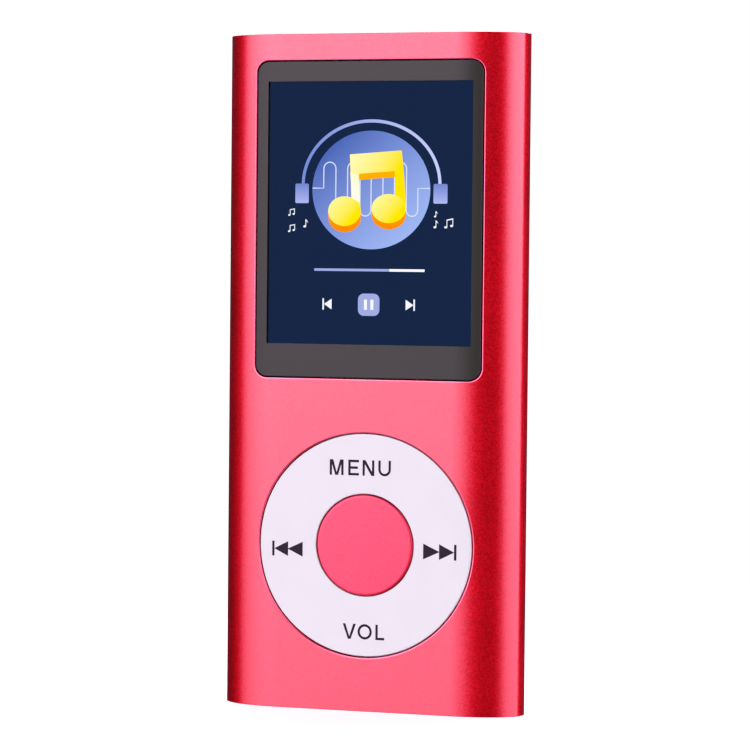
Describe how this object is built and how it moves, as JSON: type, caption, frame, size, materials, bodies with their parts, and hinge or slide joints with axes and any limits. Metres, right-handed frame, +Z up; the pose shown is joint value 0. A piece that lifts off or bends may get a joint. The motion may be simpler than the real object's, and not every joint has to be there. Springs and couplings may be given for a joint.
{
  "type": "digital audio player",
  "caption": "Slim oval-section digital audio player with a display window, a four-way rocker ring and a centre button on its face.",
  "frame": {"origin": "middle of the bottom face, on the surface that the player stands on", "axes": "+Z up along the player's height, -Y out of the front face with the display, +X to the right as the front is looked at"},
  "size_m": [0.0418, 0.0092, 0.09],
  "materials": {
    "anodised_red": "satin, fine-blasted and dyed red by anodising",
    "cap_plastic": "satin moulded plastic, dyed to match the tube",
    "smoked_lens": "polished acrylic with a charcoal border printed on its back",
    "lcd_glass": "glossy display glass",
    "ring_white": "satin white plastic with printed grey legends",
    "button_red": "satin red-pink plastic",
    "white_plastic": "satin",
    "frame_plastic": "satin grey moulding",
    "black_plastic": "satin",
    "black_foam": "matte closed-cell foam",
    "amber_film": "polyimide film with copper tracks",
    "steel": "plated sheet steel",
    "spring_bronze": "plated spring bronze",
    "green_board": "solder-masked glass-fibre board",
    "chip_resin": "moulded epoxy",
    "battery_pouch": "aluminium laminate pouch",
    "red_wire": "insulated wire",
    "black_wire": "insulated wire"
  },
  "bodies": {
    "casing": {"body_tube": "anodised_red", "top_cap": "cap_plastic", "bottom_cap": "cap_plastic", "cap_screw_left": "steel", "cap_screw_right": "steel", "inner_frame": "frame_plastic", "display_lens": "smoked_lens", "lens_gasket": "black_foam", "lcd_glass": "lcd_glass", "lcd_backlight": "white_plastic", "lcd_flex": "amber_film", "tact_switch_menu": "steel", "tact_switch_next": "steel", "tact_switch_volume": "steel", "tact_switch_previous": "steel", "tact_switch_centre": "steel", "power_switch": "steel", "usb_shell": "steel", "usb_tongue": "black_plastic", "headphone_jack": "black_plastic", "card_socket": "steel", "microphone": "spring_bronze", "main_board": "green_board", "board_screw_left": "steel", "board_screw_right": "steel", "processor_chip": "chip_resin", "memory_chip": "chip_resin", "radio_chip": "chip_resin", "crystal": "steel", "battery_cell": "battery_pouch", "battery_tape": "black_foam", "battery_board": "green_board", "battery_lead_red": "red_wire", "battery_lead_black": "black_wire"},
    "rocker": {"rocker_plate": "spring_bronze"},
    "ring": {"control_ring": "ring_white"},
    "button": {"centre_button": "button_red", "centre_switch_stem": "black_plastic"},
    "slider": {"power_knob": "black_plastic"}
  },
  "joints": [
    {"name": "ring_rock_sideways", "type": "hinge", "parent": "casing", "child": "rocker", "pos_m": [0, -0.0005, 0.02215], "axis": [0, 0, 1], "range_deg": [-1.2, 1.2], "stiffness_Nm_per_rad": 1},
    {"name": "ring_rock_up_down", "type": "hinge", "parent": "rocker", "child": "ring", "pos_m": [0, -0.00255, 0.02215], "axis": [1, 0, 0], "range_deg": [-1.2, 1.2], "stiffness_Nm_per_rad": 1},
    {"name": "centre_button_press", "type": "slide", "parent": "casing", "child": "button", "axis": [0, 1, 0], "range_m": [0, 0.0003], "stiffness_N_per_m": 3000},
    {"name": "power_slide", "type": "slide", "parent": "casing", "child": "slider", "axis": [1, 0, 0], "range_m": [0, 0.002]}
  ]
}
